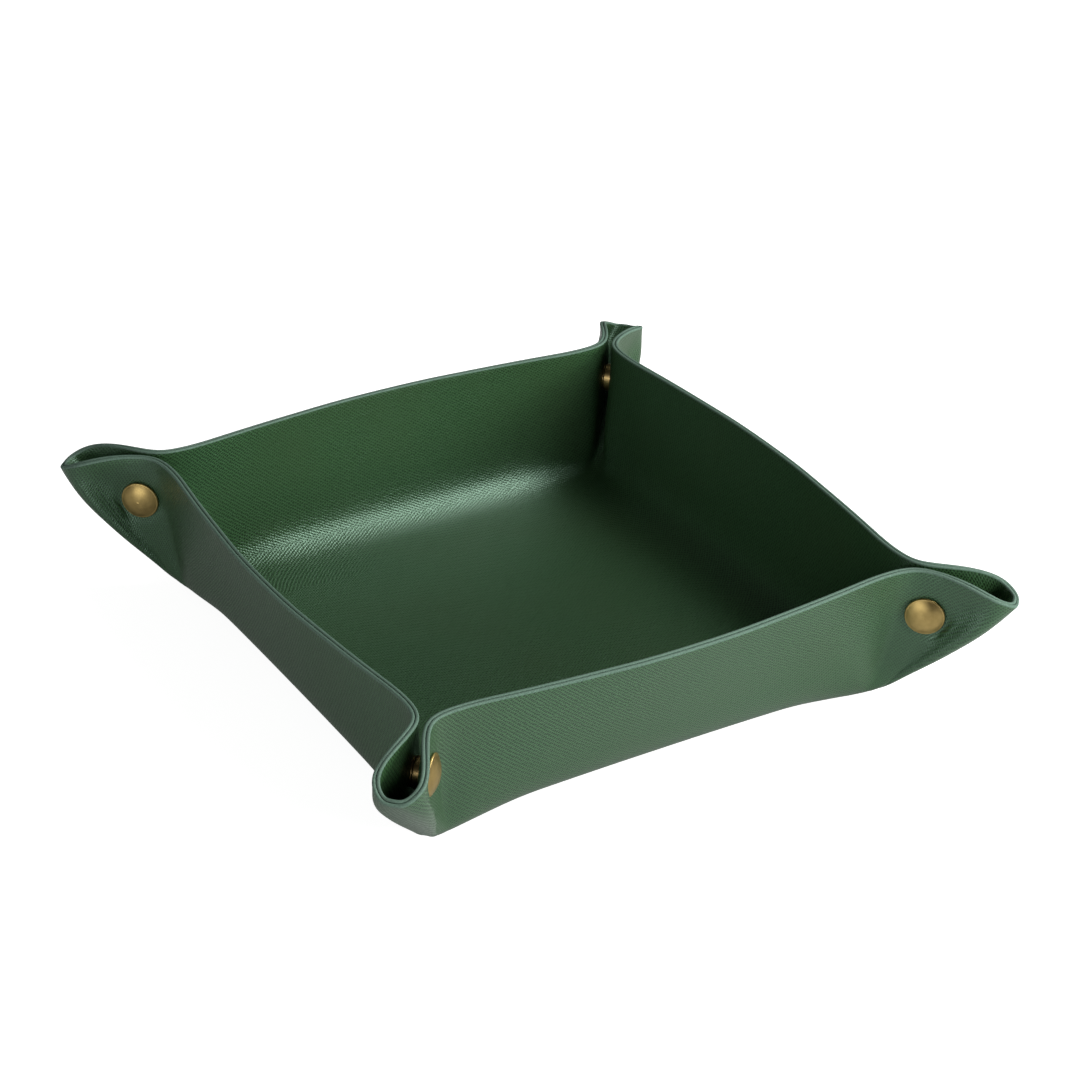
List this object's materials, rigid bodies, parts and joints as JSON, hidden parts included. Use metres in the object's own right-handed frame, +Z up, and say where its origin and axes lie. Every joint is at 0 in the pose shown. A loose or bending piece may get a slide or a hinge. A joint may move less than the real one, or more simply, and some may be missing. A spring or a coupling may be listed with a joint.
{
  "type": "valet tray",
  "caption": "Square leather catch-all tray: a two-ply sheet whose corners are pinched into ears that brass press studs hold, so it opens flat.",
  "frame": {"origin": "middle of the underside, on the surface it stands on", "axes": "+Z up, the walls square to X and Y, -Y the wall with two caps"},
  "size_m": [0.2232, 0.2232, 0.0484],
  "materials": {
    "outer_leather": "satin, fine cross-hatched grain",
    "inner_leather": "satin, fine cross-hatched grain",
    "cap_brass": "antique, brushed dome",
    "fitting_brass": "antique",
    "spring_steel": "drawn wire"
  },
  "bodies": {
    "tray": {"outer_ply": "outer_leather", "inner_ply": "inner_leather", "stud_front_right": "fitting_brass", "eyelet_front_right": "fitting_brass", "stud_back_right": "fitting_brass", "eyelet_back_right": "fitting_brass", "stud_back_left": "fitting_brass", "eyelet_back_left": "fitting_brass", "stud_front_left": "fitting_brass", "eyelet_front_left": "fitting_brass"},
    "snap_front_right": {"cap_front_right": "cap_brass", "socket_front_right": "fitting_brass", "ring_spring_front_right": "spring_steel"},
    "snap_back_right": {"cap_back_right": "cap_brass", "socket_back_right": "fitting_brass", "ring_spring_back_right": "spring_steel"},
    "snap_back_left": {"cap_back_left": "cap_brass", "socket_back_left": "fitting_brass", "ring_spring_back_left": "spring_steel"},
    "snap_front_left": {"cap_front_left": "cap_brass", "socket_front_left": "fitting_brass", "ring_spring_front_left": "spring_steel"}
  },
  "joints": [
    {"name": "unsnap_front_right", "type": "slide", "parent": "tray", "child": "snap_front_right", "axis": [-0.7071, -0.7071, 0], "range_m": [0, 0.007], "deforming": ["outer_ply", "inner_ply", "ring_spring_front_right"]},
    {"name": "unsnap_back_right", "type": "slide", "parent": "tray", "child": "snap_back_right", "axis": [0.7071, -0.7071, 0], "range_m": [0, 0.007], "deforming": ["outer_ply", "inner_ply", "ring_spring_back_right"]},
    {"name": "unsnap_back_left", "type": "slide", "parent": "tray", "child": "snap_back_left", "axis": [-0.7071, -0.7071, 0], "range_m": [0, 0.007], "deforming": ["outer_ply", "inner_ply", "ring_spring_back_left"]},
    {"name": "unsnap_front_left", "type": "slide", "parent": "tray", "child": "snap_front_left", "axis": [0.7071, -0.7071, 0], "range_m": [0, 0.007], "deforming": ["outer_ply", "inner_ply", "ring_spring_front_left"]}
  ]
}
